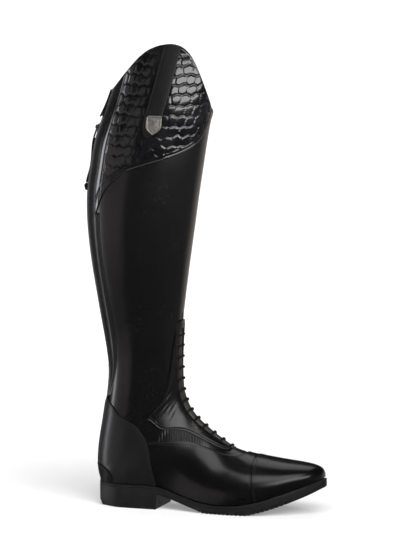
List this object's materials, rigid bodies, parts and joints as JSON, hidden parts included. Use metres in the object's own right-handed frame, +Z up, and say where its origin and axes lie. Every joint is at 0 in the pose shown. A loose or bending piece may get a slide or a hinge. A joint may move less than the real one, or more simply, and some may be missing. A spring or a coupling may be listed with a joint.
{
  "type": "field boot",
  "caption": "Tall black laced field riding boot for the right foot with a rear zip, high outer collar and patent cuff.",
  "frame": {"origin": "on the floor below the middle of the boot's box", "axes": "+X from heel to toe, +Y towards the inner (medial) side, +Z up"},
  "size_m": [0.2872, 0.1142, 0.5389],
  "materials": {
    "black_leather": "semi-gloss smooth calf",
    "patent_leather": "high-gloss patent with a reptile-scale emboss",
    "matte_leather": "matte smooth",
    "sole_rubber": "matte moulded",
    "tan_lining": "matte lining leather",
    "pewter": "satin dark pewter",
    "black_textile": "woven"
  },
  "bodies": {
    "boot": {"upper": "black_leather", "outsole": "sole_rubber", "insole": "tan_lining", "tongue": "black_leather", "toe_cap": "black_leather", "vamp": "black_leather", "counter": "black_leather", "heel_tab": "matte_leather", "facing": "black_leather", "cuff": "patent_leather", "cuff_strap": "matte_leather", "badge": "pewter", "zip": "black_textile", "zip_flap": "matte_leather", "zip_slider": "pewter", "laces": "black_textile"},
    "pull": {"zip_pull": "pewter", "zip_cord_outer": "black_textile", "zip_cord_inner": "black_textile", "zip_cord_knot": "black_textile"}
  },
  "joints": [
    {"name": "zip_pull_hinge", "type": "hinge", "parent": "boot", "child": "pull", "pos_m": [-0.13082, 0.0026, 0.43438], "axis": [0, 1, 0], "range_deg": [0, 130]}
  ]
}
